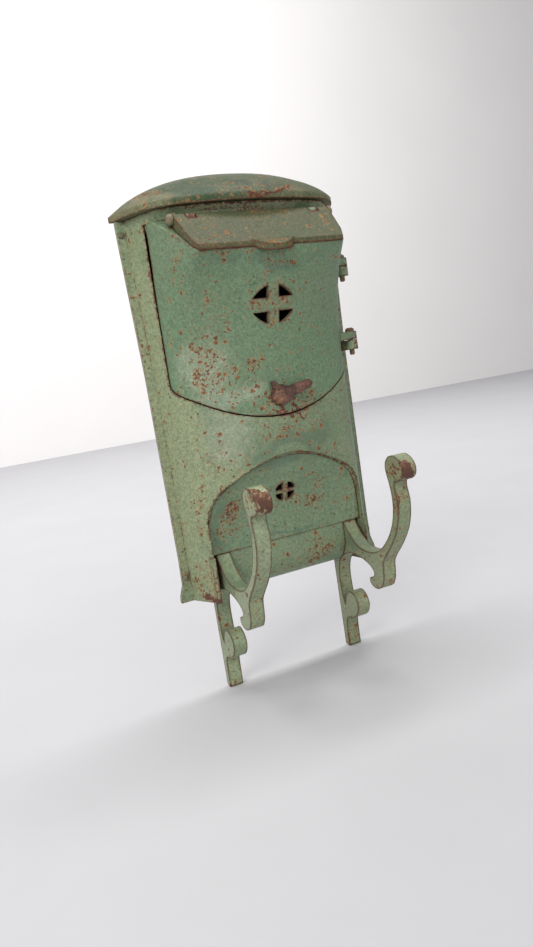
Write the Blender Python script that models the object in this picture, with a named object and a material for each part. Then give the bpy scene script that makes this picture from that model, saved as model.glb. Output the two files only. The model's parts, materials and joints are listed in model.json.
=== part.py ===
"""Wall mounted mailbox: cast body with a hinged door, a sloping mail flap on the door's
spout, a turn latch, and two scroll brackets below for newspapers.

Frame: X to the right as seen from the front, front faces -Y, +Z up.
The back lies in the plane Y = 0.  The origin is on the flat back, on the centre line.
All sizes below are in millimetres; depth is measured forward from the wall (-Y).
"""
import bpy
import bmesh
import math
from mathutils import Matrix, Vector

# ---------------------------------------------------------------- driving dimensions (mm)
MM = 0.001
Z_ORIGIN = 120.0          # height of the origin above the body's bottom datum
GAP = 0.3                 # air between touching castings
WALL = 3.0                # casting thickness
PLATE_T = 2.5             # back plate thickness
BODY_Z0, BODY_Z1 = -3.0, 249.7
BODY_DEPTH = 42.0         # bowed front, at the centre line
CORNER_X, CORNER_SAG = 60.0, 13.5
NECK_Z = 243.5            # lower edge of the neck band over the door
FLANGE_T0, FLANGE_T1 = 2.8, 5.6

DOOR_HALF_W = 64.5
DOOR_Z0, DOOR_RISE = 113.8, 24.0    # lowest point of the door's curved lower edge, and its rise
DOOR_TOP = 242.9
DOOR_GAP = 0.9
SPOUT_Z, SPOUT_DEPTH = 217.0, 65.0  # front lip of the spout
RIM_SLOPE = 0.75                    # fall of the spout's rim towards the front
HINGE_X, HINGE_D = 73.0, 20.0       # door hinge axis
LID_AX_D, LID_AX_Z = 41.0, 240.5    # flap hinge axis
LATCH_Z = 126.5
HOOK_X, HOOK_T = 49.9, 10.0         # bracket centre and thickness
RECESS_HALF_W = 58.5
EAVE_HALF_W, EAVE_DEPTH = 81.5, 45.5
EAVE_Z0, EAVE_Z1, ROOF_RISE = 250.0, 253.5, 22.5

for ob in list(bpy.data.objects):
    bpy.data.objects.remove(ob, do_unlink=True)


# ---------------------------------------------------------------- helpers
def P(x, d, z):
    """Millimetres (x, depth forward of the wall, height) to a world point."""
    return Vector((x * MM, -d * MM, (z - Z_ORIGIN) * MM))


def material(name, rgb, rough, metal):
    m = bpy.data.materials.new(name)
    m.use_nodes = True
    b = m.node_tree.nodes["Principled BSDF"]
    b.inputs["Base Color"].default_value = (*rgb, 1.0)
    b.inputs["Roughness"].default_value = rough
    b.inputs["Metallic"].default_value = metal
    return m


GREEN = material("green_paint", (0.20, 0.32, 0.22), 0.55, 0.0)
GREEN_LIGHT = material("green_paint_light", (0.27, 0.37, 0.24), 0.55, 0.0)
OLIVE = material("green_paint_worn", (0.22, 0.26, 0.17), 0.6, 0.0)
DARK = material("back_iron", (0.12, 0.10, 0.08), 0.8, 0.2)
RUST = material("rusted_iron", (0.22, 0.10, 0.07), 0.85, 0.1)
STEEL = material("dull_steel", (0.30, 0.27, 0.24), 0.5, 0.8)


def make(name, bm, mat=None, origin=None, cutter=False):
    bmesh.ops.remove_doubles(bm, verts=bm.verts, dist=1e-6)
    bmesh.ops.recalc_face_normals(bm, faces=bm.faces)
    me = bpy.data.meshes.new(name)
    bm.to_mesh(me)
    bm.free()
    ob = bpy.data.objects.new(name, me)
    bpy.context.scene.collection.objects.link(ob)
    if mat:
        me.materials.append(mat)
    if origin is not None:
        me.transform(Matrix.Translation(-origin))
        ob.location = origin
    if cutter:
        ob.hide_render = True
        ob.display_type = 'WIRE'
    return ob



def loft(name, loops, **kw):
    """Closed solid through loops of equal length; the ends are capped."""
    bm = bmesh.new()
    rows = [[bm.verts.new(p) for p in lp] for lp in loops]
    n = len(rows[0])
    for a, b in zip(rows, rows[1:]):
        for i in range(n):
            j = (i + 1) % n
            bm.faces.new((a[i], a[j], b[j], b[i]))
    bm.faces.new(rows[0])
    bm.faces.new(list(reversed(rows[-1])))
    return make(name, bm, **kw)


def prism_yz(name, dz, x0, x1, **kw):
    return loft(name, [[P(x, d, z) for d, z in dz] for x in (x0, x1)], **kw)


def prism_xz(name, xz, d0, d1, **kw):
    return loft(name, [[P(x, d, z) for x, z in xz] for d in (d0, d1)], **kw)


def prism_xy(name, xd, z0, z1, **kw):
    return loft(name, [[P(x, d, z) for x, d in xd] for z in (z0, z1)], **kw)


def turned(name, axis, centre, profile, n=20, phase=0.0, **kw):
    """Solid of revolution: profile is (along, radius) pairs, centre is (x, d, z)."""
    loops = []
    for a, r in profile:
        lp = []
        for k in range(n):
            t = 2 * math.pi * (k + phase) / n
            u, v = r * math.cos(t), r * math.sin(t)
            x, d, z = centre
            if axis == 'X':
                lp.append(P(x + a, d + u, z + v))
            elif axis == 'D':
                lp.append(P(x + u, d + a, z + v))
            else:
                lp.append(P(x + u, d + v, z + a))
        loops.append(lp)
    return loft(name, loops, **kw)


def boolean(ob, other, op='DIFFERENCE'):
    m = ob.modifiers.new(op.lower(), 'BOOLEAN')
    m.operation = op
    m.solver = 'EXACT'
    m.object = other


def cut(name, kind, *a, **kw):
    return kind("cut_" + name, *a, cutter=True, **kw)


def smooth(ob, deg=32):
    ob.data.shade_smooth()
    ob.data.set_sharp_from_angle(angle=math.radians(deg))


def catmull(pts, per=4, closed=False):
    """Curve through pts; a point given as (d, z, 1) stays a sharp corner."""
    out = []
    n = len(pts)
    for i in range(n if closed else n - 1):
        p1, p2 = pts[i], pts[(i + 1) % n]
        p0 = pts[i - 1] if (i > 0 or closed) and len(p1) == 2 else p1
        p3 = pts[(i + 2) % n] if (i + 2 < n or closed) and len(p2) == 2 else p2
        steps = 1 if len(p1) == 3 and len(p2) == 3 else per
        for k in range(steps):
            t = k / steps
            q = []
            for c in (0, 1):
                a, b, cc, dd = p0[c], p1[c], p2[c], p3[c]
                q.append(0.5 * (2 * b + (cc - a) * t + (2 * a - 5 * b + 4 * cc - dd) * t * t
                                + (3 * b - a - 3 * cc + dd) * t ** 3))
            out.append(tuple(q))
    if not closed:
        out.append(tuple(pts[-1][:2]))
    return out


def lerp(a, b, t):
    return a + (b - a) * t


def table(tab, z):
    for (z0, v0), (z1, v1) in zip(tab, tab[1:]):
        if z <= z1:
            return lerp(v0, v1, max(0.0, (z - z0) / (z1 - z0)))
    return tab[-1][1]


# ---------------------------------------------------------------- body section
def flange_half(z):
    return table([(-3, 79.0), (1, 78.4), (8, 76.0), (25, 75.6), (150, 76.4), (245, 79.0), (300, 79.0)], z)


def root_half(z):
    return table([(-3, 71.6), (25, 71.6), (150, 72.4), (245, 75.0), (300, 75.0)], z)


def half_section(depth, sag, xc, xs, ds=3.0, pre=10.0, frac=0.32, n_arc=7, n_fil=5):
    """From the centre line out to the root of the side: shallow bow, rounded corner, steep side."""
    pts = []
    bow = lambda x: depth - sag * (x / xc) ** 2
    xa = xc - pre
    for i in range(n_arc):
        x = xa * i / (n_arc - 1)
        pts.append((x, bow(x)))
    p0 = (xa, bow(xa))
    corner = (xc - 0.1 * pre, bow(xa) - 2 * sag * xa / xc ** 2 * 0.9 * pre)
    end = (lerp(xc, xs, frac), lerp(depth - sag, ds, frac))
    for k in range(1, n_fil + 1):
        t = k / n_fil
        pts.append(tuple((1 - t) ** 2 * p0[c] + 2 * t * (1 - t) * corner[c] + t * t * end[c] for c in (0, 1)))
    pts.append((xs, ds))
    return pts


def mirrored(half):
    return [(-x, d) for x, d in reversed(half[1:])] + list(half)


def inward(sec, t):
    """Section moved in by t along its normals, its ends run straight back through the wall plane."""
    out = []
    n = len(sec)
    for i, (x, d) in enumerate(sec):
        xa, da = sec[max(i - 1, 0)]
        xb, db = sec[min(i + 1, n - 1)]
        tx, td = xb - xa, db - da
        ln = math.hypot(tx, td)
        nx, nd = -td / ln, tx / ln        # forward of a left to right run
        out.append((x - t * nx, d - t * nd))
    for end, nxt in ((0, 1), (-1, -2)):
        (x0, d0), (x1, d1) = out[end], out[nxt]
        k = (d0 + 6.0) / (d1 - d0)
        out[end] = (x0 - (x1 - x0) * k, -6.0)
    return out


def body_half(z):
    top = table([(0, 0.0), (242.5, 0.0), (243.5, 1.0), (300, 1.0)], z)
    cove = table([(0, 0.0), (243.5, 0.0), (246.5, 0.22), (249.7, 1.0), (300, 1.0)], z)
    depth = BODY_DEPTH - 5.5 * top + 5.0 * cove
    sag = CORNER_SAG - 5.5 * top + 1.5 * cove
    return half_section(depth, sag, CORNER_X, root_half(z))


def door_half(z):
    """Door face: the body's bow, flaring forward into the spout under the flap."""
    s = min(max((z - 130.0) / (SPOUT_Z - 130.0), 0.0), 1.0)
    u, w = s ** 3, s ** 1.7
    depth = lerp(BODY_DEPTH, SPOUT_DEPTH, w)
    xc = lerp(CORNER_X, 50.5, u)
    cd = lerp(BODY_DEPTH - CORNER_SAG, SPOUT_DEPTH - 1.0, u)
    return half_section(depth, depth - cd, xc, root_half(z), pre=lerp(10, 4.5, u), frac=lerp(0.32, 0.07, u))


BODY_LEVELS = [BODY_Z0, 1.0, 8.0, 25.0, 150.0, 242.5, 243.5, 246.5, 248.5, BODY_Z1]
DOOR_LEVELS = [104, 130, 142, 152, 162, 172, 181, 190, 198, 205, 211, 217, 250]


def cavity(name, offset, levels=(-12.0, 25.0, 150.0, 242.5, 243.5, 246.5, 248.5, 262.0), **kw):
    return loft(name, [[P(x, d, z) for x, d in inward(mirrored(body_half(min(z, BODY_Z1))), offset)]
                       for z in levels], cutter=True, **kw)


# recess surface under the arch: depth against height
def recess_depth(z):
    return table([(28, 22.3), (40, 22.8), (50, 24.2), (61, 27.2), (70, 31.0), (80, 36.0), (88.5, 40.2), (96, 44.0)], z)


ARCH = [(58.5, 52), (57.2, 59), (53, 66.5), (46, 72), (37, 77), (28, 81.2), (19, 84.8), (9.5, 87.6), (0, 88.5)]


def door_edge(grow=0.0):
    """Front outline of the door: straight sides, rounded lower corners, curved lower edge."""
    w, r = DOOR_HALF_W + grow, 5.0 + grow
    low = lambda x: DOOR_Z0 - grow + DOOR_RISE * (x / DOOR_HALF_W) ** 2
    right = [(w, DOOR_TOP + (0.6 if grow else 0.0)), (w, low(w) + r)]
    c0, c1, c2 = (w, low(w) + r), (w, low(w)), (w - r, low(w - r))
    for k in range(1, 5):
        t = k / 4
        right.append(tuple((1 - t) ** 2 * c0[i] + 2 * t * (1 - t) * c1[i] + t * t * c2[i] for i in (0, 1)))
    for i in range(1, 13):
        x = (w - r) * (1 - i / 12)
        right.append((x, low(x)))
    return right + [(-x, z) for x, z in reversed(right[:-1])]


# ---------------------------------------------------------------- back plate
def roof_z(x):
    return EAVE_Z1 + ROOF_RISE * max(0.0, 1 - (abs(x) / EAVE_HALF_W) ** 2.4) ** 0.9


def roof_inner_z(x):
    return 252.0 + 20.5 * max(0.0, 1 - (abs(x) / 74.0) ** 2.4) ** 0.9


eave_in = mirrored(half_section(EAVE_DEPTH - 7.5, 10.0, 60.0, 74.0, ds=-5.0, pre=14.0, frac=0.42, n_arc=7, n_fil=6))


def plate_top(x):
    """Highest the plate can stand under the hood's domed inside."""
    d = table(sorted((a, b) for a, b in eave_in if a >= 0), x)
    v = (PLATE_T + 5.0) / (d + 5.0)
    return 252.0 + (roof_inner_z(x) - 252.0) * (1 - v ** 2.0) - 0.9


side = [(flange_half(z) - 0.6, z) for z in (-3, 1, 8, 25, 150, 245)] + [(78.4, 249.6), (70.0, 249.7)]
arch = [(x, plate_top(x)) for x in (69.6, 67, 62, 56, 48, 38, 27, 14, 0)]
outline = side + arch
outline = outline + [(-x, z) for x, z in reversed(outline[:-1])]
back_plate = prism_xz("back_plate", outline, 0.0, PLATE_T, mat=DARK)
WALL_SCREWS = [(0, 150), (0, 225)]
for i, (x, z) in enumerate(WALL_SCREWS):
    boolean(back_plate, cut("wall_screw_%d" % i, turned, 'D', (x, 0, z), [(-2, 2.75), (6, 2.75)]))

# ---------------------------------------------------------------- body shell
loops = []
for z in BODY_LEVELS:
    sec = mirrored(body_half(z))
    (x0, d0), (x1, d1) = sec[-1], sec[-2]
    k = (FLANGE_T1 - d0) / (d1 - d0)
    rx = x0 + (x1 - x0) * k
    sec = [(-rx, FLANGE_T1)] + sec[1:-1] + [(rx, FLANGE_T1)]
    h = flange_half(z)
    loops.append([P(x, d, z) for x, d in [(-h, FLANGE_T0), (-h, FLANGE_T1)] + sec
                  + [(h, FLANGE_T1), (h, FLANGE_T0)]])
shell = loft("body_shell", loops, mat=GREEN_LIGHT)
boolean(shell, cavity("cut_body_cavity", WALL))
boolean(shell, cut("door_opening", prism_xz, door_edge(DOOR_GAP), 8.0, 95.0))
front_of_recess = prism_yz("cut_recess", [(recess_depth(z), z) for z in (-12, 28, 40, 50, 61, 70, 80, 88.5, 96)]
                           + [(95, 96), (95, -12)], -RECESS_HALF_W - 1, RECESS_HALF_W + 1, cutter=True)
arch_outline = [(RECESS_HALF_W, -12)] + ARCH
arch_outline = arch_outline + [(-x, z) for x, z in reversed(arch_outline[:-1])]
boolean(front_of_recess, cut("recess_arch", prism_xz, arch_outline, 5.0, 99.0), 'INTERSECT')
boolean(shell, front_of_recess)
for s in (-1, 1):
    # folded inner edge of the cheek beside each bracket
    boolean(shell, cut("cheek_%d" % s, prism_xy,
                       [(s * 58.4, 29.3), (s * 61.0, 27.6), (s * 61.0, 20.0), (s * 58.8, 3.2), (s * 55.6, 3.2)],
                       BODY_Z0, 27.8), 'UNION')

# door hinge ears on the body, right side
side_dir = Vector((CORNER_X - root_half(150), (BODY_DEPTH - CORNER_SAG) - 3.0)).normalized()
side_nrm = Vector((side_dir.y, -side_dir.x))
if side_nrm.x < 0:
    side_nrm = -side_nrm
side_root = Vector((root_half(150), 3.0))


def on_side(along, off):
    p = side_root + side_dir * along + side_nrm * off
    return (p.x, p.y)


def ear(pts_near, pts_far, r=4.6, start=0.0, sweep=math.pi, n=10):
    arc = [(HINGE_X + r * math.cos(start + sweep * k / n), HINGE_D + r * math.sin(start + sweep * k / n))
           for k in range(n + 1)]
    return pts_near + arc + pts_far


axis_along = (Vector((HINGE_X, HINGE_D)) - side_root).dot(side_dir)
axis_off = (Vector((HINGE_X, HINGE_D)) - side_root).dot(side_nrm)
ang = math.atan2(side_nrm.y, side_nrm.x)
EARS = {"lower": (149.0, 155.7, 156.1, 161.6), "upper": (200.7, 207.0, 207.4, 212.8)}
for key, (z0, z1, z2, z3) in EARS.items():
    r = 4.6
    body_ear = [on_side(6.5, -1.6), on_side(axis_along - r, axis_off - 2.0)]
    body_ear += [on_side(axis_along + r * math.sin(a), axis_off + r * math.cos(a))
                 for a in [math.radians(-80 + 20 * k) for k in range(13)]]
    body_ear += [on_side(axis_along + 0.6, 2.2), on_side(13.0, -1.2)]
    boolean(shell, cut("body_ear_" + key, prism_xy, body_ear, z0, z1), 'UNION')
    boolean(shell, cut("body_ear_hole_" + key, turned, 'Z', (HINGE_X, HINGE_D, z0), [(-3, 2.1), (z1 - z0 + 3, 2.1)], n=20))
FLANGE_RIVETS = {"top_left": (-76.5, 241.0), "top_right": (76.5, 241.0),
                 "bottom_left": (-73.7, 14.0), "bottom_right": (73.7, 14.0)}
for key, (x, z) in FLANGE_RIVETS.items():
    c = cut("flange_rivet_" + key, turned, 'D', (x, 0, z), [(-2, 1.35), (9, 1.35)], n=14)
    boolean(shell, c)
    boolean(back_plate, c)
smooth(shell)

# ---------------------------------------------------------------- bottom panel (vented recess panel)
panel_pts = [(recess_depth(z), z) for z in (28.1, 40, 50, 61, 70, 80, 88.5, 96)]
panel_pts += [(d - WALL, z + 0.9) for d, z in reversed(panel_pts)][:-1] + [(recess_depth(28.1) - WALL, 28.1)]
panel = prism_yz("bottom_panel", panel_pts, -68.0, 68.0, mat=GREEN)
boolean(panel, cavity("cut_panel_fit", WALL + GAP, levels=(-12.0, 25.0, 150.0)), 'INTERSECT')
hull_line = [(21.5, 30.0), (21.7, 17.0), (20.3, 9.5), (15.5, 2.6), (9.5, -1.5), (3.4, -3.0)]
low_pts = catmull([(21.5, 30.0, 1)] + hull_line[1:-1] + [(3.4, -3.0, 1)], per=3)
low_in = catmull([(3.4, 0.0, 1), (8.0, 1.3), (13.3, 4.8), (17.4, 10.8), (18.7, 17.5), (18.6, 30.0, 1)], per=3)
low = prism_yz("cut_low_plate", low_pts + low_in, -HOOK_X + HOOK_T / 2 + 0.4, HOOK_X - HOOK_T / 2 - 0.4, cutter=True)
boolean(panel, low, 'UNION')
VENT_Z = 61.0
for sx in (-1, 1):
    for sz in (-1, 1):
        q = [(1.6, 1.4), (7.0, 1.4), (6.6, 3.2), (5.2, 5.0), (3.4, 6.1), (1.6, 6.4)]
        boolean(panel, cut("low_vent_%d_%d" % (sx, sz), prism_xz,
                           [(sx * (a + 0.3), VENT_Z + sz * b * 0.95) for a, b in q], 15.0, 60.0))
smooth(panel)

# ---------------------------------------------------------------- hood
eave = mirrored(half_section(EAVE_DEPTH, 12.0, 66.0, EAVE_HALF_W, ds=0.0, pre=16.0, frac=0.42, n_arc=8, n_fil=8))
ROWS = [0.0, 0.22, 0.42, 0.6, 0.75, 0.87, 0.95, 1.0]


def dome(name, curve, z_of_x, z_rim, z_bottom, d_back, **kw):
    bm = bmesh.new()
    grid = []
    for v in ROWS:
        row = []
        for x, d in curve:
            z = z_rim + (z_of_x(x) - z_rim) * (1 - v ** 2.3)
            row.append(bm.verts.new(P(x, lerp(d_back, max(d, d_back), v), z)))
        grid.append(row)
    base = [bm.verts.new(P(x, max(d, d_back), z_bottom)) for x, d in curve]
    n = len(curve)
    for a, b in zip(grid, grid[1:]):
        for i in range(n - 1):
            bm.faces.new((a[i], a[i + 1], b[i + 1], b[i]))
    for i in range(n - 1):
        bm.faces.new((grid[-1][i], grid[-1][i + 1], base[i + 1], base[i]))
    # back face and underside
    bm.faces.new([base[0], base[-1]] + list(reversed(grid[0])))
    bm.faces.new(base)
    bmesh.ops.remove_doubles(bm, verts=bm.verts, dist=2e-6)
    bmesh.ops.dissolve_degenerate(bm, dist=1e-6, edges=bm.edges)
    return make(name, bm, **kw)


hood = dome("hood", eave, roof_z, EAVE_Z1, EAVE_Z0, 0.0, mat=GREEN)
boolean(hood, dome("cut_hood_inside", eave_in, roof_inner_z, 252.0, 240.0, -5.0, cutter=True))
HOOD_SCREWS = {"left": (-45.0, 262.5), "right": (45.0, 262.5)}
for key, (x, z) in HOOD_SCREWS.items():
    boolean(hood, cut("hood_boss_" + key, turned, 'D', (x, 0, z), [(PLATE_T + 0.3, 5.0), (12.0, 5.0)], n=16), 'UNION')
    boolean(hood, cut("hood_boss_hole_" + key, turned, 'D', (x, 0, z), [(-2, 2.1), (10.5, 2.1)], n=16))
    boolean(back_plate, cut("hood_screw_sink_" + key, turned, 'D', (x, 0, z), [(-2, 3.9), (1.6, 3.9)], n=16))
    boolean(back_plate, cut("hood_screw_hole_" + key, turned, 'D', (x, 0, z), [(-3, 2.1), (6, 2.1)], n=18, phase=0.3))
    turned("hood_screw_" + key, 'D', (x, 0, z), [(0.15, 3.5), (1.3, 3.5), (1.3, 1.75), (9.8, 1.75)], n=16, mat=STEEL)
smooth(hood, 50)

# ---------------------------------------------------------------- door
door = loft("door", [[P(x, d, z) for x, d in mirrored(door_half(z))] for z in DOOR_LEVELS], mat=GREEN,
            origin=P(HINGE_X, HINGE_D, 180.0))
inner = loft("cut_door_inside", [[P(x, d, z) for x, d in inward(mirrored(door_half(z)), WALL)]
                                 for z in [96] + DOOR_LEVELS[1:]], cutter=True)
knee_d = SPOUT_DEPTH - (DOOR_TOP - SPOUT_Z) / RIM_SLOPE


def rim_z(d):
    return min(DOOR_TOP, SPOUT_Z + (SPOUT_DEPTH - d) * RIM_SLOPE)


def above_rim(name, drop):
    return prism_yz(name, [(-20, DOOR_TOP - drop), (knee_d, DOOR_TOP - drop), (100, rim_z(100) - drop),
                           (100, 320), (-20, 320)], -90, 90, cutter=True)


boolean(inner, above_rim("cut_inside_top", 3.2))
boolean(door, cut("door_outline", prism_xz, door_edge(), -15.0, 95.0), 'INTERSECT')
boolean(door, above_rim("cut_rim", 0.0))
boolean(door, inner)
# the ledge stops just inside the neck band
boolean(door, cut("door_back", prism_xy, [(-61.0, -20), (61.0, -20), (61.0, 22.0), (52.0, 31.0), (-52.0, 31.0), (-61.0, 22.0)],
                  100.0, 260.0))
mouth = [(-37.5, 36.0), (37.5, 36.0), (37.5, 48.0), (47.0, 48.0), (47.0, 60.4), (-47.0, 60.4), (-47.0, 48.0), (-37.5, 48.0)]
boolean(door, cut("mouth", prism_xy, mouth, 216.9, 260.0))
LUG_X = (39.6, 45.4)
for s, key in ((-1, "left"), (1, "right")):
    lug = [(LID_AX_D - 3.2, LID_AX_Z - 4.6), (LID_AX_D - 3.2, LID_AX_Z)]
    lug += [(LID_AX_D - 3.2 * math.cos(math.radians(a)), LID_AX_Z + 3.2 * math.sin(math.radians(a)))
            for a in range(20, 180, 20)]
    lug += [(LID_AX_D + 3.2, LID_AX_Z), (LID_AX_D + 3.2, LID_AX_Z - 9.0)]
    boolean(door, cut("lug_" + key, prism_yz, lug, *sorted((s * LUG_X[0], s * LUG_X[1]))), 'UNION')
    boolean(door, cut("lug_hole_" + key, turned, 'X', (0, LID_AX_D, LID_AX_Z),
                      [(a, 1.8) for a in sorted((s * 38.0, s * 47.0))], n=16))
for key, (z0, z1, z2, z3) in EARS.items():
    r = 4.6
    door_ear = [on_side(26.5, -1.8), on_side(26.5, 1.5)]
    door_ear += [on_side(axis_along + r * math.cos(a), axis_off + r * math.sin(a))
                 for a in [math.radians(60 + 20 * k) for k in range(-1, 12)]]
    door_ear += [on_side(axis_along + 2.5, 2.0), on_side(19.0, 0.8), on_side(19.0, -1.8)]
    boolean(door, cut("door_ear_" + key, prism_xy, door_ear, z2, z3), 'UNION')
    boolean(door, cut("door_ear_hole_" + key, turned, 'Z', (HINGE_X, HINGE_D, z2), [(-3, 2.1), (z3 - z2 + 3, 2.1)], n=20))
UP_VENT_Z, VENT_A, VENT_B, VENT_P = 183.7, 16.2, 12.2, 1.25
for sx in (-1, 1):
    for sz in (-1, 1):
        q = [(3.8, 4.2)]
        # the outer side is a superellipse from the level bar round to the upright bar
        t0, t1 = math.asin((4.2 / VENT_B) ** (1 / VENT_P)), math.acos((3.8 / VENT_A) ** (1 / VENT_P))
        q += [(VENT_A * math.cos(lerp(t0, t1, k / 5)) ** VENT_P, VENT_B * math.sin(lerp(t0, t1, k / 5)) ** VENT_P) for k in range(6)]
        boolean(door, cut("vent_%d_%d" % (sx, sz), prism_xz,
                          [(sx * a, UP_VENT_Z + sz * b) for a, b in q], 30.0, 80.0))
boolean(door, cut("latch_hole", turned, 'D', (0, 0, LATCH_Z), [(30, 2.9), (60, 2.9)], n=20))
smooth(door)

# ---------------------------------------------------------------- flap (lid)
T = 2.5
PLANE_A = math.atan(RIM_SLOPE)
front_d = SPOUT_DEPTH + 0.4
lip_z = rim_z(front_d) + GAP
top_front = (front_d, lip_z + 5.2)
r = 3.3
# side profile of the plate: rolled back edge round the axis, flat top, down-turned lip
roll = [(LID_AX_D + r * math.cos(math.radians(a)), LID_AX_Z + r * math.sin(math.radians(a))) for a in range(50, 300, 25)]
plate = roll + [(LID_AX_D + 4.4, LID_AX_Z - 2.9), (front_d - T, rim_z(front_d - T) + GAP + 0.1)]
plate += [(front_d, lip_z + 0.1), (front_d + 0.2, lip_z + 2.3), (front_d - 0.2, lip_z + 3.5), (front_d - 1.1, lip_z + 4.1)]
lid = prism_yz("lid", plate, -54.0, 54.0, mat=OLIVE, origin=P(0, LID_AX_D, LID_AX_Z))
# outline seen from above: wider at the back, cut front corners, a thumb tab at the middle
lid_plan = [(-54.0, 30.0), (54.0, 30.0), (54.0, 46.0), (51.5, 60.5), (48.5, 66.5), (-48.5, 66.5), (-51.5, 60.5), (-54.0, 46.0)]
boolean(lid, cut("lid_plan", prism_xy, lid_plan, 205.0, 260.0), 'INTERSECT')
for s, key in ((-1, "left"), (1, "right")):
    cheek = [(LID_AX_D - 4.0 * math.cos(math.radians(a)), LID_AX_Z + 4.0 * math.sin(math.radians(a)))
             for a in (-45, -15, 15, 45, 75, 95)]
    cheek += [(front_d - 1.4, lip_z + 3.6), (front_d - 1.2, rim_z(front_d - 1.2) + GAP),
              (LID_AX_D + 2.0, rim_z(LID_AX_D + 2.0) + GAP), (LID_AX_D - 1.6, LID_AX_Z - 3.6)]
    xs = [(54.0, 30.0), (54.0, 46.0), (51.5, 60.5), (49.5, 64.4), (47.2, 64.4), (48.9, 60.0), (51.4, 46.0), (51.4, 30.0)]
    c = cut("lid_cheek_" + key, prism_yz, cheek, *sorted((s * 47.0, s * 54.0)))
    boolean(c, cut("lid_cheek_plan_" + key, prism_xy, [(s * a, b) for a, b in xs], 205.0, 260.0), 'INTERSECT')
    boolean(lid, c, 'UNION')
    boolean(lid, cut("lid_notch_" + key, prism_yz, [(30.0, 228.0), (LID_AX_D + 4.6, 228.0), (LID_AX_D + 4.6, 250.0), (30.0, 250.0)],
                     *sorted((s * (LUG_X[0] - 0.6), s * (LUG_X[1] + 0.6)))))
    boolean(lid, cut("lid_pin_hole_" + key, turned, 'X', (0, LID_AX_D, LID_AX_Z),
                     [(a, 1.9) for a in sorted((s * 36.5, s * 58.0))], n=16))
# thumb tab, proud of the lip
tab = [(-15.0, 64.0), (-12.6, 66.0), (-10.0, 68.2), (-6.0, 70.2), (0, 70.9), (6.0, 70.2), (10.0, 68.2), (12.6, 66.0), (15.0, 64.0)]
tb = cut("lid_tab", prism_xy, tab, lip_z - 6.0, lip_z + 6.0)
boolean(tb, cut("lid_tab_slope", prism_yz, [(60.0, rim_z(60.0) + GAP + 0.3), (front_d, lip_z + 0.3), (front_d + 0.9, lip_z - 1.6), (72.0, lip_z - 4.4), (72.0, lip_z - 1.2),
                                            (front_d + 2.5, lip_z + 2.2), (front_d - 0.4, lip_z + 4.2), (60.0, lip_z + 5.6)], -20, 20), 'INTERSECT')
boolean(lid, tb, 'UNION')
smooth(lid)

# ---------------------------------------------------------------- pins
for s, key in ((-1, "left"), (1, "right")):
    prof = [(37.6, 1.2), (38.4, 1.5), (54.3, 1.5), (54.3, 3.6), (56.2, 3.6), (57.4, 2.4)]
    turned("lid_pin_" + key, 'X', (0, LID_AX_D, LID_AX_Z), [(s * a, q) for a, q in prof], n=16, mat=RUST,
           origin=P(0, LID_AX_D, LID_AX_Z))
for key, (z0, z1, z2, z3) in EARS.items():
    turned("door_pin_" + key, 'Z', (HINGE_X, HINGE_D, 0),
           [(z0 - 3.8, 1.3), (z0 - 3.0, 1.8), (z3 + 0.3, 1.8), (z3 + 0.3, 3.2), (z3 + 1.6, 3.2), (z3 + 2.7, 2.0)],
           n=18, mat=RUST)

# ---------------------------------------------------------------- latch
LATCH = (0.0, 0.0, LATCH_Z)
knob = turned("latch_knob", 'D', LATCH, [(BODY_DEPTH + 0.7, 6.6), (44.6, 6.8), (46.4, 6.2), (47.6, 5.0), (48.3, 3.0)], n=24, mat=RUST,
              origin=P(0, BODY_DEPTH, LATCH_Z))


def turned_bar(name, a0, r0, w0, r1, w1, dn0, dn1, df0, df1):
    """Tapered wing from the hub: polar angle a0, radii, half widths, depths at near and far end."""
    ca, sa = math.cos(math.radians(a0)), math.sin(math.radians(a0))
    lp = []
    for rr, w, lo, hi in ((r0, w0, dn0, dn1), (0.5 * (r0 + r1), 0.5 * (w0 + w1) + 0.2, 0.5 * (dn0 + df0), 0.5 * (dn1 + df1)),
                          (r1 - w1 * 0.7, w1, df0, df1), (r1, w1 * 0.45, df0 + 0.4, df1 - 0.6)):
        sec = [(-w, lo + 0.6), (-w * 0.7, lo), (w * 0.7, lo), (w, lo + 0.6), (w, hi - 0.8), (w * 0.6, hi), (-w * 0.6, hi), (-w, hi - 0.8)]
        lp.append([P(rr * ca - t * sa, d, LATCH_Z + rr * sa + t * ca) for t, d in sec])
    return loft(name, lp, cutter=True)


boolean(knob, turned_bar("cut_knob_wing", 14.0, 2.0, 3.6, 21.6, 2.7, 43.2, 47.2, 45.8, 50.0), 'UNION')
boolean(knob, turned_bar("cut_knob_ear", 122.0, 3.0, 2.1, 11.4, 1.6, 43.0, 46.2, 43.6, 46.2), 'UNION')
boolean(knob, cut("knob_bore", turned, 'D', LATCH, [(40.0, 2.8), (46.4, 2.8)], n=20))
smooth(knob, 40)
spindle = turned("latch_spindle", 'D', LATCH, [(30.0, 2.0), (30.6, 2.5), (46.1, 2.5)], n=20, mat=STEEL,
                 origin=P(0, BODY_DEPTH, LATCH_Z))


def ring(name, d0, d1, r_out, n, mat, phase=0.0):
    ob = turned(name, 'D', LATCH, [(d0, r_out), (d1, r_out)], n=n, phase=phase, mat=mat,
                origin=P(0, BODY_DEPTH, LATCH_Z))
    boolean(ob, cut(name + "_bore", turned, 'D', LATCH, [(d0 - 2, 2.8), (d1 + 2, 2.8)], n=20))
    return ob


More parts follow.
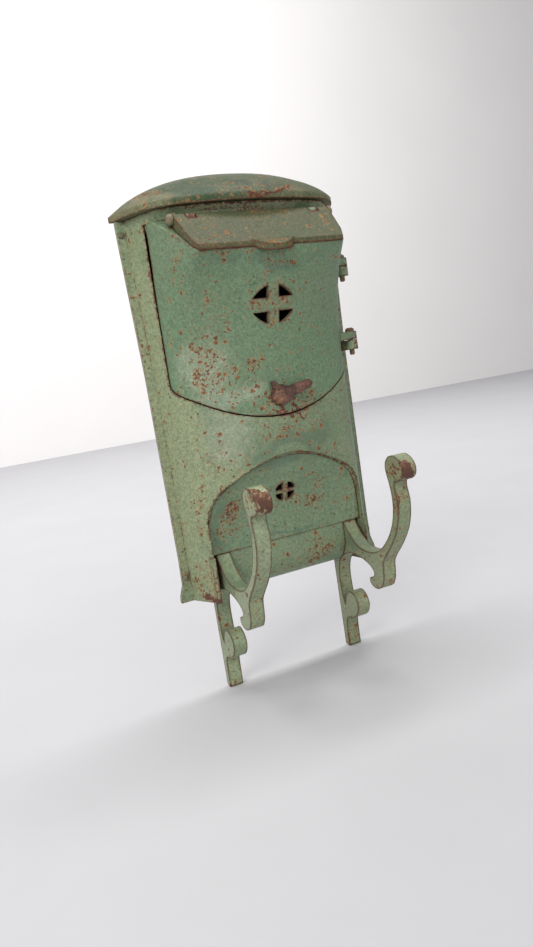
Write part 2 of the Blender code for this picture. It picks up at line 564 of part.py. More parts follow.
washer = ring("latch_washer", 37.2, 38.4, 6.5, 20, STEEL)
nut = ring("latch_nut", 31.2, 34.4, 5.2, 6, STEEL)
cam_pts = [(-19.0, -2.6), (-18.2, -3.4), (-4.0, -4.6), (0.0, -5.6), (4.0, -4.0), (5.6, 0.0), (4.0, 4.0), (0.0, 5.6), (-4.0, 4.6), (-18.2, 3.4), (-19.0, 2.6)]
cam = prism_xz("latch_cam", [(a, LATCH_Z + b) for a, b in cam_pts], 34.8, 36.8, mat=STEEL,
               origin=P(0, BODY_DEPTH, LATCH_Z))
boolean(cam, cut("cam_bore", turned, 'D', LATCH, [(32.0, 2.8), (39.0, 2.8)], n=20))

# ---------------------------------------------------------------- scroll brackets
# side profile, clockwise from the tail: (depth, height); a third value marks a sharp corner
HOOK_PROFILE = [
    (0.0, -71.0, 1), (5.4, -71.8, 1), (5.6, -60.0), (6.2, -52.0), (9.5, -48.2), (16.0, -47.0), (22.5, -43.6),
    (26.2, -37.0), (25.2, -31.0), (20.5, -26.8), (15.5, -26.4), (12.0, -29.0), (9.6, -34.0), (7.6, -38.5, 1),
    (5.6, -31.0), (4.8, -22.0), (5.2, -13.0), (8.0, -5.0), (13.5, 0.6), (21.0, 4.0), (29.0, 5.4), (38.0, 4.4),
    (47.0, 1.8), (53.0, -1.8), (54.2, -5.6), (51.6, -7.8), (48.4, -8.6), (47.8, -11.8), (50.6, -14.6), (56.0, -15.6),
    (62.0, -13.0), (65.4, -7.0), (66.4, 0.0), (67.6, 5.6), (73.0, 11.8), (80.4, 19.6), (87.6, 29.4), (91.8, 39.5),
    (93.2, 49.8), (91.6, 58.0), (92.6, 62.6), (98.0, 63.6), (102.4, 66.6), (103.4, 71.6), (100.4, 76.4), (94.6, 79.4),
    (88.8, 78.8), (85.0, 75.2), (84.0, 70.0), (86.0, 62.0), (87.4, 54.0), (87.2, 45.6), (84.8, 36.6), (80.0, 27.8),
    (73.0, 19.8), (64.4, 13.4), (55.0, 10.4), (45.0, 10.2), (36.0, 12.6), (28.6, 18.4), (24.0, 24.0), (21.9, 27.6, 1),
    (8.6, 27.6, 1), (8.6, 64.0, 1), (2.9, 64.0, 1), (2.9, -3.6, 1), (0.0, -3.6, 1)]
hook_outline = catmull(HOOK_PROFILE, per=2, closed=True)
HOOK_RIVETS = (41.0, 55.0)
for s, key in ((-1, "left"), (1, "right")):
    x0, x1 = sorted((s * HOOK_X - HOOK_T / 2, s * HOOK_X + HOOK_T / 2))
    hook = prism_yz("hook_" + key, hook_outline, x0, x1, mat=GREEN_LIGHT)
    for i, z in enumerate(HOOK_RIVETS):
        c = cut("hook_rivet_hole_%s_%d" % (key, i), turned, 'D', (s * HOOK_X, 0, z), [(-2, 2.1), (12, 2.1)], n=16)
        boolean(hook, c)
        boolean(back_plate, c)
        turned("hook_rivet_%s_%s" % (key, ("lower", "upper")[i]), 'D', (s * HOOK_X, 0, z),
               [(0.15, 1.8), (8.9, 1.8), (8.9, 3.4), (9.8, 3.2), (10.8, 1.8)], n=16, mat=RUST)
    smooth(hook)
smooth(back_plate)

# ---------------------------------------------------------------- flange rivets
for key, (x, z) in FLANGE_RIVETS.items():
    turned("flange_rivet_" + key, 'D', (x, 0, z), [(0.15, 1.05), (5.9, 1.05), (5.9, 2.1), (6.6, 1.9), (7.3, 1.1)], n=14, mat=GREEN)
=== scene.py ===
"""Looks for the cast wall mailbox: worn green paint over rusting cast iron."""
import json
import math

import bpy
from mathutils import Matrix, Vector

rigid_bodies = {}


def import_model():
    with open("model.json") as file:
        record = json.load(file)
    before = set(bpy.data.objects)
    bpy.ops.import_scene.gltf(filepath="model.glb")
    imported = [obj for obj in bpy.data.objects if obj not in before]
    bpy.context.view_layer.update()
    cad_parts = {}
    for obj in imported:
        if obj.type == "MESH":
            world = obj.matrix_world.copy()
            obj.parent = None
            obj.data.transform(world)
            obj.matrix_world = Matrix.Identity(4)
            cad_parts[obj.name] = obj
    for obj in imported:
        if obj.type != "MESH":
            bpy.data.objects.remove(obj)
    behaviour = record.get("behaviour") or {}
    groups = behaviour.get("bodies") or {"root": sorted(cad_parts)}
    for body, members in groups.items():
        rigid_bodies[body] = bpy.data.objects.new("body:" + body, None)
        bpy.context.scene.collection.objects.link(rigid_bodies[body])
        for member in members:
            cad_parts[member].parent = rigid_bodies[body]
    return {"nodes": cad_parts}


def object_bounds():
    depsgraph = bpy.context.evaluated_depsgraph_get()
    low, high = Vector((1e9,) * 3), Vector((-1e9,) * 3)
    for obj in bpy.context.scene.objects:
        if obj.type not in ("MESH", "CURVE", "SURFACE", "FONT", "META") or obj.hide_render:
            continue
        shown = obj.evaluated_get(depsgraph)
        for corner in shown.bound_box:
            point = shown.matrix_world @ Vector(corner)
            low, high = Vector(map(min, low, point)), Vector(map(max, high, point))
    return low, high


for ob in list(bpy.data.objects):
    bpy.data.objects.remove(ob, do_unlink=True)

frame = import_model()
cad_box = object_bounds()
nodes = frame["nodes"]
scene = bpy.context.scene
scene.view_settings.view_transform = 'Standard'


def mm(x, d, z):
    """Millimetres across, forward of the wall and up from the body's datum, to the row frame."""
    return Vector((x / 1000, -d / 1000, (z - 120.0) / 1000))


# ---------------------------------------------------------------- smooth shading on the CAD nodes
def shading_group(name, angle):
    g = bpy.data.node_groups.new(name, 'GeometryNodeTree')
    g.interface.new_socket("Geometry", in_out='INPUT', socket_type='NodeSocketGeometry')
    g.interface.new_socket("Geometry", in_out='OUTPUT', socket_type='NodeSocketGeometry')
    n, l = g.nodes, g.links
    gin, gout = n.new('NodeGroupInput'), n.new('NodeGroupOutput')
    weld = n.new('GeometryNodeMergeByDistance')
    weld.inputs['Distance'].default_value = 2e-6
    face = n.new('GeometryNodeSetShadeSmooth')
    face.domain = 'FACE'
    face.inputs['Shade Smooth'].default_value = True
    ang = n.new('GeometryNodeInputMeshEdgeAngle')
    cmp = n.new('FunctionNodeCompare')
    cmp.data_type = 'FLOAT'
    cmp.operation = 'GREATER_THAN'
    cmp.inputs[1].default_value = math.radians(angle)
    edge = n.new('GeometryNodeSetShadeSmooth')
    edge.domain = 'EDGE'
    edge.inputs['Shade Smooth'].default_value = False
    l.new(gin.outputs[0], weld.inputs['Geometry'])
    l.new(weld.outputs[0], face.inputs['Geometry'])
    l.new(face.outputs[0], edge.inputs['Geometry'])
    l.new(ang.outputs['Unsigned Angle'], cmp.inputs[0])
    l.new(cmp.outputs[0], edge.inputs['Selection'])
    l.new(edge.outputs[0], gout.inputs[0])
    return g


SMOOTH = {30: shading_group("smooth_30", 30), 48: shading_group("smooth_48", 48)}


def smooth(node, angle=30):
    ob = nodes[node]
    me = ob.data
    if me.has_custom_normals and "custom_normal" in me.attributes:
        me.attributes.remove(me.attributes["custom_normal"])
    m = ob.modifiers.new("smooth_by_angle", 'NODES')
    m.node_group = SMOOTH[angle]


# ---------------------------------------------------------------- materials
class Tree:
    """Small helper that strings shader nodes together."""

    def __init__(self, name):
        self.mat = bpy.data.materials.new(name)
        self.mat.use_nodes = True
        self.t = self.mat.node_tree
        self.t.nodes.clear()
        self.out = self.t.nodes.new('ShaderNodeOutputMaterial')
        self.bsdf = self.t.nodes.new('ShaderNodeBsdfPrincipled')
        self.t.links.new(self.bsdf.outputs[0], self.out.inputs[0])
        self.tc = self.t.nodes.new('ShaderNodeTexCoord')
        self.pos = self.tc.outputs['Object']

    def put(self, sock, v):
        if hasattr(v, 'is_output'):
            self.t.links.new(v, sock)
        elif hasattr(sock.default_value, '__len__') and not hasattr(v, '__len__'):
            sock.default_value = [v] * len(sock.default_value)
        else:
            sock.default_value = (*v, 1.0) if hasattr(v, '__len__') and len(v) == 3 and len(sock.default_value) == 4 else v

    def math(self, op, a, b=0.0, c=None, clamp=False):
        n = self.t.nodes.new('ShaderNodeMath')
        n.operation = op
        n.use_clamp = clamp
        self.put(n.inputs[0], a)
        self.put(n.inputs[1], b)
        if c is not None:
            self.put(n.inputs[2], c)
        return n.outputs[0]

    def vec(self, op, a, b):
        n = self.t.nodes.new('ShaderNodeVectorMath')
        n.operation = op
        self.put(n.inputs[0], a)
        self.put(n.inputs[1], b)
        return n.outputs['Value'] if op in ('LENGTH', 'DOT_PRODUCT', 'DISTANCE') else n.outputs[0]

    def noise(self, scale, detail=3.0, rough=0.55, seed=0.0, warp=0.0, at=None):
        n = self.t.nodes.new('ShaderNodeTexNoise')
        n.inputs['Scale'].default_value = scale
        n.inputs['Detail'].default_value = detail
        n.inputs['Roughness'].default_value = rough
        n.inputs['Distortion'].default_value = warp
        v = self.vec('ADD', at or self.pos, (seed * 0.37, seed * 0.71, seed * 0.13))
        self.put(n.inputs['Vector'], v)
        return n.outputs['Fac']

    def cells(self, scale, seed=0.0, at=None):
        """Distance to the nearest cell point and two random numbers of that cell."""
        n = self.t.nodes.new('ShaderNodeTexVoronoi')
        n.inputs['Scale'].default_value = scale
        self.put(n.inputs['Vector'], self.vec('ADD', at or self.pos, (seed * 0.29, seed * 0.53, seed * 0.17)))
        col = n.outputs['Color']
        return n.outputs['Distance'], self.vec('DOT_PRODUCT', col, (1, 0, 0)), self.vec('DOT_PRODUCT', col, (0, 1, 0))

    def step(self, v, lo, hi):
        n = self.t.nodes.new('ShaderNodeMapRange')
        n.interpolation_type = 'SMOOTHSTEP'
        self.put(n.inputs['Value'], v)
        n.inputs['From Min'].default_value = lo
        n.inputs['From Max'].default_value = hi
        return n.outputs['Result']

    def mix(self, f, a, b, mode='MIX'):
        n = self.t.nodes.new('ShaderNodeMix')
        n.data_type = 'RGBA'
        n.blend_type = mode
        self.put(n.inputs[0], f)
        self.put(n.inputs[6], a)
        self.put(n.inputs[7], b)
        return n.outputs[2]

    def blob(self, at, size, soft=0.6):
        """1 inside an ellipsoid, falling off over its soft share; at and size in millimetres (x, d, z)."""
        d = self.vec('SUBTRACT', self.pos, mm(*at))
        s = self.vec('MULTIPLY', d, tuple(1000.0 / c for c in size))
        return self.step(self.vec('LENGTH', s, (0, 0, 0)), 1.0, 1.0 - soft)

    def biggest(self, items):
        v = items[0]
        for w in items[1:]:
            v = self.math('MAXIMUM', v, w)
        return v

    def edge(self, radius=0.0008, lo=0.03, hi=0.30):
        b = self.t.nodes.new('ShaderNodeBevel')
        b.samples = 6
        b.inputs['Radius'].default_value = radius
        g = self.t.nodes.new('ShaderNodeNewGeometry')
        dot = self.vec('DOT_PRODUCT', b.outputs[0], g.outputs['Normal'])
        return self.step(self.math('SUBTRACT', 1.0, dot), lo, hi), b.outputs[0]

    def crevice(self, distance=0.006, samples=8):
        a = self.t.nodes.new('ShaderNodeAmbientOcclusion')
        a.samples = samples
        a.inputs['Distance'].default_value = distance
        return self.math('SUBTRACT', 1.0, a.outputs['AO'])


# colours are linear; sage to bluish green paint, pale weathering that is also used as painted light, rusts, and a dark
# painted crevice shade
SAGE = (0.245, 0.284, 0.166)
LEAF = (0.134, 0.212, 0.124)
TEAL = (0.064, 0.122, 0.084)
OLIVE = (0.138, 0.142, 0.088)
PALE_WEAR_AND_LIGHT = (0.40, 0.43, 0.33)
OCHRE = (0.40, 0.25, 0.105)
RUST_ORANGE = (0.33, 0.128, 0.045)
RUST_DARK = (0.098, 0.042, 0.028)
CREVICE_SHADE = (0.045, 0.055, 0.040)


def paint(name, base=LEAF, alt=SAGE, deep=TEAL, rust=0.0, pale=0.0, edge_rust=0.35, crevice_shade=0.6, seed=0.0,
          rust_spots=(), painted_light_spots=(), shade_spots=(), alt_and_lit_spots=(), bare_spots=(), edge_radius=0.0008, bump=1.0, shine=0.45):
    m = Tree(name)
    broad = m.noise(16, 3, seed=seed)
    mid = m.noise(75, 4, 0.6, seed=seed + 1)
    fine = m.noise(600, 4, 0.64, seed=seed + 2)
    grain = m.noise(1500, 2, 0.6, seed=seed + 3)
    # placed regions are looked up at a warped place, so none keeps a round outline
    plain = m.pos
    wander = m.noise(38, 3, 0.6, seed=seed + 8), m.noise(38, 3, 0.6, seed=seed + 9), m.noise(38, 3, 0.6, seed=seed + 10)
    comb = m.t.nodes.new('ShaderNodeCombineXYZ')
    for k in range(3):
        m.put(comb.inputs[k], m.math('MULTIPLY', m.math('SUBTRACT', wander[k], 0.5), 0.050))
    m.pos = m.vec('ADD', plain, comb.outputs[0])
    zone = {k: (m.biggest([m.blob(*q) for q in v]) if v else None) for k, v in
            (("rust", rust_spots), ("pale", painted_light_spots), ("deep", shade_spots), ("alt", alt_and_lit_spots), ("bare", bare_spots))}
    m.pos = plain
    # broad drift between the two greens
    drift = m.math('ADD', m.math('MULTIPLY', broad, 0.9), m.math('MULTIPLY', mid, 0.35))
    # alt zones pull placed regions to the lighter green: painted light on the shaded neck under the hood and on the lit
    # left strip, lighter paint tone elsewhere
    if zone["alt"]:
        drift = m.math('ADD', drift, m.math('MULTIPLY', zone["alt"], 0.40))
    col = m.mix(m.step(drift, 0.44, 1.00), base, alt)
    col = m.mix(m.math('MULTIPLY', m.step(mid, 0.50, 0.78), 0.20), col, deep)
    # placed shade zones: a painted shade in the darker green under the arch, under the lid lip and the hood's bead, and
    # in creases, broken up by fine speckle
    if zone["deep"]:
        speckled = m.step(m.math('ADD', m.math('MULTIPLY', zone["deep"], 0.45), m.math('MULTIPLY', fine, 0.95)), 0.60, 1.05)
        col = m.mix(m.math('MULTIPLY', speckled, 0.60), col, deep)
    col = m.mix(1.0, col, m.mix(m.step(fine, 0.28, 0.72), (0.72, 0.75, 0.72), (1.27, 1.26, 1.24)), 'MULTIPLY')
    col = m.mix(1.0, col, m.mix(m.step(grain, 0.25, 0.75), (0.86, 0.86, 0.86), (1.14, 1.14, 1.14)), 'MULTIPLY')
    # pale chalky wear: a soft bloom with tiny broken flecks in it; the placed pale zones add a painted highlight on the
    # door's lower left and painted light on the shaded neck under the hood
    fleck = m.noise(780, 3, 0.7, seed=seed + 4)
    wear_and_light = m.math('ADD', m.math('MULTIPLY', mid, 0.22), pale * 0.10)
    if zone["pale"]:
        wear_and_light = m.math('ADD', wear_and_light, m.math('MULTIPLY', zone["pale"], 0.13))
        col = m.mix(m.math('MULTIPLY', m.math('MULTIPLY', zone["pale"], mid), 0.62), col, PALE_WEAR_AND_LIGHT)
    wear_and_light = m.step(m.math('ADD', fleck, wear_and_light), 0.74, 0.90)
    col = m.mix(m.math('MULTIPLY', wear_and_light, 0.55), col, PALE_WEAR_AND_LIGHT)
    # tiny dark pits where the paint has gone to black iron
    pit = m.step(m.math('ADD', m.noise(520, 2, 0.5, seed=seed + 11), m.math('MULTIPLY', broad, 0.16)), 0.775, 0.815)
    col = m.mix(m.math('MULTIPLY', pit, 0.8), col, (0.035, 0.038, 0.030))
    # edges and crevices; the occlusion in crevices feeds a painted shade and rust
    edge, rounded = m.edge(edge_radius)
    wide = m.edge(0.0026, 0.008, 0.11)[0]
    crev = m.crevice()
    # painted shade: occlusion darkens crevices and the neck under the hood
    col = m.mix(m.math('MULTIPLY', m.math('MULTIPLY', m.step(crev, 0.22, 0.80), m.math('ADD', 0.45, mid)), crevice_shade, clamp=True), col, CREVICE_SHADE)
    # rust: clustered specks, denser at placed spots, edges and gaps
    cluster = m.noise(58, 3, 0.6, seed=seed + 5)
    speck = m.noise(560, 3.0, 0.62, seed=seed + 6, warp=0.25)
    big = m.noise(270, 3.5, 0.66, seed=seed + 12, warp=0.25)
    level = m.math('ADD', m.math('MULTIPLY', cluster, 0.30), rust * 0.10 - 0.01)
    if zone["rust"]:
        level = m.math('ADD', level, m.math('MULTIPLY', zone["rust"], 0.120))
    if zone["bare"]:
        level = m.math('ADD', level, m.math('MULTIPLY', zone["bare"], 0.27))
    level = m.math('ADD', level, m.math('MULTIPLY', m.math('MAXIMUM', edge, m.math('MULTIPLY', wide, 0.8)), 0.42 * edge_rust))
    level = m.math('ADD', level, m.math('MULTIPLY', m.step(crev, 0.30, 0.85), 0.22))
    level = m.math('ADD', level, m.math('MAXIMUM', speck, m.math('ADD', m.math('MULTIPLY', big, 0.9), 0.03)))
    halo = m.step(level, 0.845, 0.895)
    core = m.step(level, 0.885, 0.925)
    heart = m.step(m.math('ADD', level, m.math('MULTIPLY', m.math('SUBTRACT', fine, 0.5), 0.30)), 0.940, 1.00)
    # separate chips: irregular dots, one in a few cells, more of them where rust is placed
    ragged = m.t.nodes.new('ShaderNodeCombineXYZ')
    for k in range(3):
        m.put(ragged.inputs[k], m.math('MULTIPLY', m.math('SUBTRACT', m.noise(520, 3, 0.6, seed=seed + 20 + k), 0.5), 0.0042))
    torn = m.vec('ADD', m.pos, ragged.outputs[0])
    odds = m.math('ADD', m.math('MULTIPLY', m.step(cluster, 0.40, 0.66), 0.17), rust * 0.11)
    if zone["rust"]:
        odds = m.math('ADD', odds, m.math('MULTIPLY', zone["rust"], 0.42))
    for k, (scale, small, spread) in enumerate(((210, 0.16, 0.26), (390, 0.18, 0.24))):
        dist, luck, girth = m.cells(scale, seed=seed + 3.3 * k, at=torn)
        hit = m.step(m.math('ADD', luck, odds), 0.97, 0.99)
        reach = m.math('SUBTRACT', m.math('ADD', m.math('MULTIPLY', girth, spread), small), dist)
        halo = m.math('MAXIMUM', halo, m.math('MULTIPLY', hit, m.step(reach, -0.10, 0.04)))
        core = m.math('MAXIMUM', core, m.math('MULTIPLY', hit, m.step(reach, 0.02, 0.10)))
    col = m.mix(m.math('MULTIPLY', halo, 0.58), col, OCHRE)
    col = m.mix(m.math('MULTIPLY', core, 0.92), col, m.mix(m.step(fine, 0.42, 0.64), RUST_DARK, RUST_ORANGE))
    col = m.mix(heart, col, RUST_DARK)
    m.put(m.bsdf.inputs['Base Color'], col)
    rough = m.math('ADD', 0.43, m.math('MULTIPLY', core, 0.38))
    rough = m.math('ADD', rough, m.math('MULTIPLY', m.math('SUBTRACT', fine, 0.5), 0.30), clamp=True)
    m.put(m.bsdf.inputs['Roughness'], rough)
    m.bsdf.inputs['Specular IOR Level'].default_value = shine
    # orange-peel casting skin, pits and raised rust
    h = m.math('ADD', m.math('MULTIPLY', m.noise(300, 4, 0.6, seed=seed + 7), 0.9), m.math('MULTIPLY', grain, 0.28))
    h = m.math('ADD', h, m.math('MULTIPLY', mid, 0.9))
    h = m.math('ADD', h, m.math('MULTIPLY', core, 0.35))
    h = m.math('SUBTRACT', h, m.math('MULTIPLY', pit, 0.4))
    b = m.t.nodes.new('ShaderNodeBump')
    b.inputs['Strength'].default_value = 0.75 * bump
    b.inputs['Distance'].default_value = 0.0007
    m.put(b.inputs['Height'], h)
    m.put(b.inputs['Normal'], rounded)
    m.put(m.bsdf.inputs['Normal'], b.outputs[0])
    return m.mat


def iron(name, a=RUST_DARK, b=RUST_ORANGE, c=(0.16, 0.085, 0.075), metal=0.0, rough=0.72, seed=0.0, flakes=0.0, bump=1.0, warm=(), warm_colour=(0.33, 0.17, 0.068)):
    """Bare rusted or dull iron with pits."""
    m = Tree(name)
    n1, n2 = m.noise(110, 4, 0.62, seed=seed), m.noise(480, 4, 0.65, seed=seed + 1)
    col = m.mix(m.step(n1, 0.35, 0.68), a, c)
    col = m.mix(m.math('MULTIPLY', m.step(n2, 0.50, 0.68), 0.8), col, b)
    if flakes:
        col = m.mix(m.math('MULTIPLY', m.step(m.noise(260, 3, 0.6, seed=seed + 2), 0.56, 0.62), flakes), col, LEAF)
    for q in warm:
        patch = m.math('MULTIPLY', m.blob(*q), m.step(m.noise(330, 4, 0.65, seed=seed + 4), 0.44, 0.60))
        col = m.mix(patch, col, warm_colour)
    edge, rounded = m.edge(0.0005)
    col = m.mix(m.math('MULTIPLY', edge, 0.35), col, c)
    # painted shade: occlusion darkens crevices
    col = m.mix(m.math('MULTIPLY', m.step(m.crevice(0.003), 0.3, 0.9), 0.6), col, (0.02, 0.016, 0.012))
    m.put(m.bsdf.inputs['Base Color'], col)
    m.bsdf.inputs['Metallic'].default_value = metal
    m.put(m.bsdf.inputs['Roughness'], m.math('ADD', rough - 0.15, m.math('MULTIPLY', n2, 0.3), clamp=True))
    bp = m.t.nodes.new('ShaderNodeBump')
    bp.inputs['Strength'].default_value = 0.7 * bump
    bp.inputs['Distance'].default_value = 0.0006
    m.put(bp.inputs['Height'], m.math('ADD', n2, m.math('MULTIPLY', n1, 0.8)))
    m.put(bp.inputs['Normal'], rounded)
    m.put(m.bsdf.inputs['Normal'], bp.outputs[0])
    return m.mat


# the placed shade zones, the placed pale zones and the neck and left-strip alt zones below are painted shade and
# painted light; rust, bare and the other zones are the part's own colour
LOOKS = {
    "body_shell": paint("look_body_shell", base=(0.148, 0.208, 0.122), alt=SAGE, seed=1.0, edge_rust=0.55, rust=0.40, pale=0.15, crevice_shade=0.25,
                        alt_and_lit_spots=[((-70, 15, 130), (22, 40, 190)), ((-45, 35, 60), (30, 30, 60)), ((0, 38, 246), (90, 20, 6))],
                        rust_spots=[((12, 41, 100), (46, 14, 16), 0.95), ((-48, 30, 100), (14, 20, 22), 0.9), ((-66, 20, 12), (20, 24, 18)),
                                    ((-60, 25, 60), (8, 12, 30)), ((-38, 36, 66), (10, 16, 14)), ((0, 38, 246.5), (60, 20, 4.5)), ((-64, 30, 140), (6, 8, 80)), ((-34, 38, 30), (8, 12, 44))],
                        bare_spots=[((-64, 26, 4), (12, 16, 6), 0.9), ((14, 40, 114), (30, 8, 2.5), 0.9), ((84, 20, 154), (16, 20, 11), 0.6), ((84, 20, 205), (16, 20, 11), 0.6)],
                        shade_spots=[((6, 41, 93), (50, 16, 12))],
                        painted_light_spots=[((-40, 36, 110), (26, 20, 26)), ((0, 40, 246), (70, 16, 6))]),
    "door": paint("look_door", base=LEAF, alt=(0.158, 0.218, 0.126), seed=2.0, edge_rust=0.60, rust=0.35, pale=0.10,
                  rust_spots=[((-42, 38, 152), (22, 24, 40)), ((-26, 42, 140), (16, 16, 22)), ((-50, 42, 216), (14, 30, 8)), ((-40, 42, 190), (14, 20, 16)),
                              ((2, 40, 120), (34, 14, 8)), ((-12, 44, 152), (10, 12, 12)), ((0, 52, 184), (20, 14, 15), 0.25),
                              ((22, 42, 122), (16, 12, 8)), ((0, 60, 214), (52, 16, 6))],
                  painted_light_spots=[((-42, 36, 146), (24, 24, 30)), ((-28, 40, 128), (26, 18, 16)), ((-44, 36, 132), (16, 18, 14))],
                  bare_spots=[((12, 40, 113), (24, 8, 3.5), 0.8), ((-44, 50, 219), (8, 12, 4), 0.8), ((4, 42, 121), (9, 8, 8), 0.9), ((84, 20, 159), (16, 20, 11), 0.6),
                              ((84, 20, 210), (16, 20, 11), 0.6),
                              ((-42, 42, 243), (18, 14, 9), 0.8), ((44, 42, 243), (18, 14, 9), 0.8)],
                  shade_spots=[((0, 58, 209), (46, 24, 9))]),
    "hood": paint("look_hood", base=(0.048, 0.072, 0.038), alt=(0.150, 0.150, 0.088), deep=(0.040, 0.050, 0.030), seed=3.0, rust=0.60, pale=0.05, edge_rust=0.70, shine=0.12,
                  bare_spots=[((10, 47, 251), (64, 10, 2.2), 0.9)],
                  alt_and_lit_spots=[((-76, 20, 250), (34, 60, 16)), ((76, 20, 250), (34, 60, 16))],
                  rust_spots=[((20, 30, 266), (50, 14, 6), 0.95), ((-64, 20, 262), (16, 20, 10), 0.95), ((10, 44, 252), (64, 8, 4), 0.9)],
                  shade_spots=[((0, 44, 257), (76, 12, 5))]),
    "lid": paint("look_lid", base=(0.084, 0.098, 0.050), alt=(0.094, 0.090, 0.050), deep=(0.062, 0.066, 0.036), seed=4.0, rust=0.55, edge_rust=0.85, pale=0.08, shine=0.12,
                 rust_spots=[((0, 44, 242), (50, 6, 5)), ((-44, 60, 224), (12, 10, 8)), ((50, 62, 222), (8, 8, 8)), ((0, 66, 217), (56, 5, 4))]),
    "bottom_panel": paint("look_bottom_panel", base=(0.158, 0.228, 0.140), alt=(0.178, 0.238, 0.140), seed=5.0, rust=0.85, edge_rust=0.45, crevice_shade=0.5,
                          alt_and_lit_spots=[((0, 20, 12), (60, 20, 18))],
                          rust_spots=[((10, 24, 52), (34, 10, 10)), ((-40, 24, 48), (14, 10, 16)), ((22, 20, 10), (18, 12, 10)),
                                      ((0, 25, 61), (13, 8, 10), 0.3)],
                          shade_spots=[((0, 38, 84), (60, 16, 12)), ((-50, 26, 40), (10, 12, 40)), ((0, 23, 30), (60, 6, 4))]),
    "hook_left": paint("look_hook_left", base=(0.215, 0.270, 0.160), alt=(0.29, 0.33, 0.20), seed=6.0, rust=0.60, edge_rust=0.95, pale=0.05, bare_spots=[((-50, 99, 75), (11, 10, 10), 0.8)],
                       rust_spots=[((-50, 95, 72), (14, 14, 12)), ((-50, 5, -62), (12, 6, 14)), ((-50, 55, -8), (12, 12, 8))],
                       shade_spots=[((-50, 36, 14), (12, 22, 8)), ((-50, 90, 58), (12, 8, 8))]),
    "hook_right": paint("look_hook_right", base=(0.195, 0.240, 0.138), alt=(0.27, 0.29, 0.17), seed=7.5, rust=0.75, edge_rust=0.95, pale=0.05, bare_spots=[((50, 101, 75), (11, 10, 10), 0.8)],
                        rust_spots=[((50, 96, 72), (14, 13, 12)), ((50, 90, 44), (14, 12, 22)), ((50, 56, -6), (12, 14, 12)),
                                    ((50, 5, -64), (12, 6, 14)), ((50, 75, 22), (12, 12, 12))],
                        shade_spots=[((50, 36, 14), (12, 22, 8))]),
    "back_plate": iron("look_back_plate", a=(0.045, 0.036, 0.030), b=(0.15, 0.075, 0.045), c=(0.085, 0.062, 0.050), seed=8.0),
    "latch_knob": iron("look_latch_knob", a=(0.042, 0.018, 0.014), b=(0.26, 0.125, 0.060), c=(0.165, 0.075, 0.058), seed=9.0, bump=2.4, rough=0.62,
                       warm=[((-5, 46, 125), (8, 14, 9)), ((-7, 46, 118), (9, 14, 5))]),
    "door_pin_upper": iron("look_hinge_pin", a=RUST_DARK, b=RUST_ORANGE, c=(0.26, 0.20, 0.11), seed=10.0, flakes=0.0),
    "lid_pin_left": iron("look_flap_pin", a=(0.10, 0.075, 0.05), b=RUST_ORANGE, c=(0.23, 0.20, 0.12), seed=11.0, flakes=0.10),
    "latch_spindle": iron("look_dull_steel", a=(0.10, 0.09, 0.08), b=(0.20, 0.12, 0.08), c=(0.26, 0.24, 0.22), metal=0.7, rough=0.5, seed=12.0),
    "hook_rivet": iron("look_rivet", a=(0.10, 0.06, 0.045), b=RUST_ORANGE, c=(0.17, 0.13, 0.10), seed=13.0),
    "flange_rivet": paint("look_flange_rivet", base=(0.15, 0.22, 0.13), alt=SAGE, seed=14.0, rust=0.5, edge_rust=0.9, edge_radius=0.0003),
}
SHARED = {"door_pin_lower": "door_pin_upper", "lid_pin_right": "lid_pin_left", "latch_washer": "latch_spindle",
          "latch_cam": "latch_spindle", "latch_nut": "latch_spindle", "hood_screw_left": "latch_spindle", "hood_screw_right": "latch_spindle"}

for name, ob in nodes.items():
    key = SHARED.get(name, name)
    for prefix in ("hook_rivet", "flange_rivet"):
        if name.startswith(prefix):
            key = prefix
    ob.data.materials.clear()
    ob.data.materials.append(LOOKS[key])
    smooth(name, 48 if name in ("hood", "latch_knob") else 30)

# ---------------------------------------------------------------- floor, light, camera
lo, hi = cad_box
FLOOR_Z = lo.z - 0.0004
bpy.ops.mesh.primitive_plane_add(size=30.0, location=(0, 0, FLOOR_Z))
floor = bpy.context.object
floor.name = "floor"
fm = Tree("look_floor")
fn = fm.noise(7, 4, 0.6)
fm.put(fm.bsdf.inputs['Base Color'], fm.mix(fn, (0.475, 0.472, 0.486), (0.525, 0.522, 0.536)))
fm.bsdf.inputs['Roughness'].default_value = 0.85
fm.bsdf.inputs['Specular IOR Level'].default_value = 0.2
floor.data.materials.append(fm.mat)


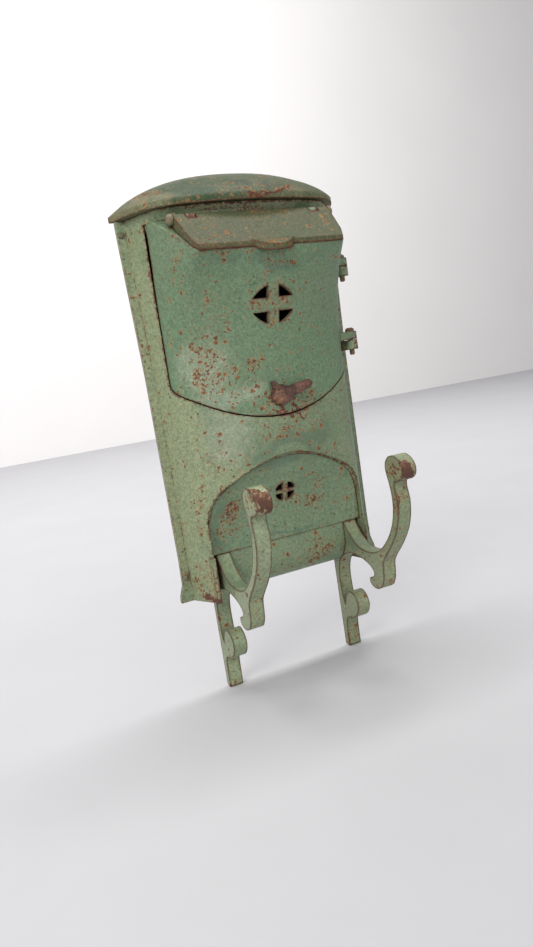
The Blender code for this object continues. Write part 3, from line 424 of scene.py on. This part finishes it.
def area(name, loc, target, size, watts, colour=(1, 1, 1)):
    d = bpy.data.lights.new(name, 'AREA')
    d.shape = 'RECTANGLE'
    d.size, d.size_y = size
    d.energy = watts
    d.color = colour
    ob = bpy.data.objects.new(name, d)
    scene.collection.objects.link(ob)
    ob.location = loc
    ob.rotation_mode = 'QUATERNION'
    ob.rotation_quaternion = (Vector(target) - Vector(loc)).to_track_quat('-Z', 'Y')
    return ob


area("key", (-1.1, -0.9, 0.9), (0, -0.03, 0.0), (0.7, 0.7), 15.0, (1.0, 0.985, 0.95))
area("fill", (0.25, -1.6, 0.30), (0, -0.03, 0.0), (1.4, 1.4), 7.0, (1.0, 0.99, 0.97))
area("top", (0.0, -0.2, 1.5), (0, -0.03, 0.0), (1.0, 1.0), 1.2, (1.0, 1.0, 1.0))
area("backdrop_wash", (0.0, 0.3, 2.2), (0, 2.4, 0.8), (2.5, 1.0), 88.0, (1.0, 1.0, 1.0))
bpy.ops.mesh.primitive_plane_add(size=30.0, location=(0, 2.6, 0), rotation=(math.pi / 2, 0, 0))
backdrop = bpy.context.object
backdrop.name = "backdrop"
bm_ = Tree("look_backdrop")
bn = bm_.noise(2.0, 3, 0.5)
bm_.put(bm_.bsdf.inputs['Base Color'], bm_.mix(bn, (0.78, 0.76, 0.75), (0.84, 0.82, 0.81)))
bm_.bsdf.inputs['Roughness'].default_value = 0.9
backdrop.data.materials.append(bm_.mat)
world = bpy.data.worlds.new("studio")
scene.world = world
world.use_nodes = True
bg = world.node_tree.nodes["Background"]
bg.inputs["Color"].default_value = (0.83, 0.83, 0.85, 1)
bg.inputs["Strength"].default_value = 0.56

cam_data = bpy.data.cameras.new("camera")
cam = bpy.data.objects.new("camera", cam_data)
scene.collection.objects.link(cam)
cam_data.sensor_width = 36.0
cam_data.lens = 711.0 / 947.0 * 36.0
cam_data.clip_start, cam_data.clip_end = 0.01, 100.0
# rows: the camera's right, down and forward directions in the row frame
right = Vector((0.8898, -0.4305, -0.1514))
ahead = Vector((0.4049, 0.9035, -0.1394))
ahead.normalize()
right = (right - ahead * right.dot(ahead)).normalized()
up = right.cross(ahead)
m = Matrix((right, up, -ahead)).transposed().to_4x4()
m.translation = Vector((-0.20627, -0.46124, 0.14229 - 0.120))
cam.matrix_world = m
scene.camera = cam
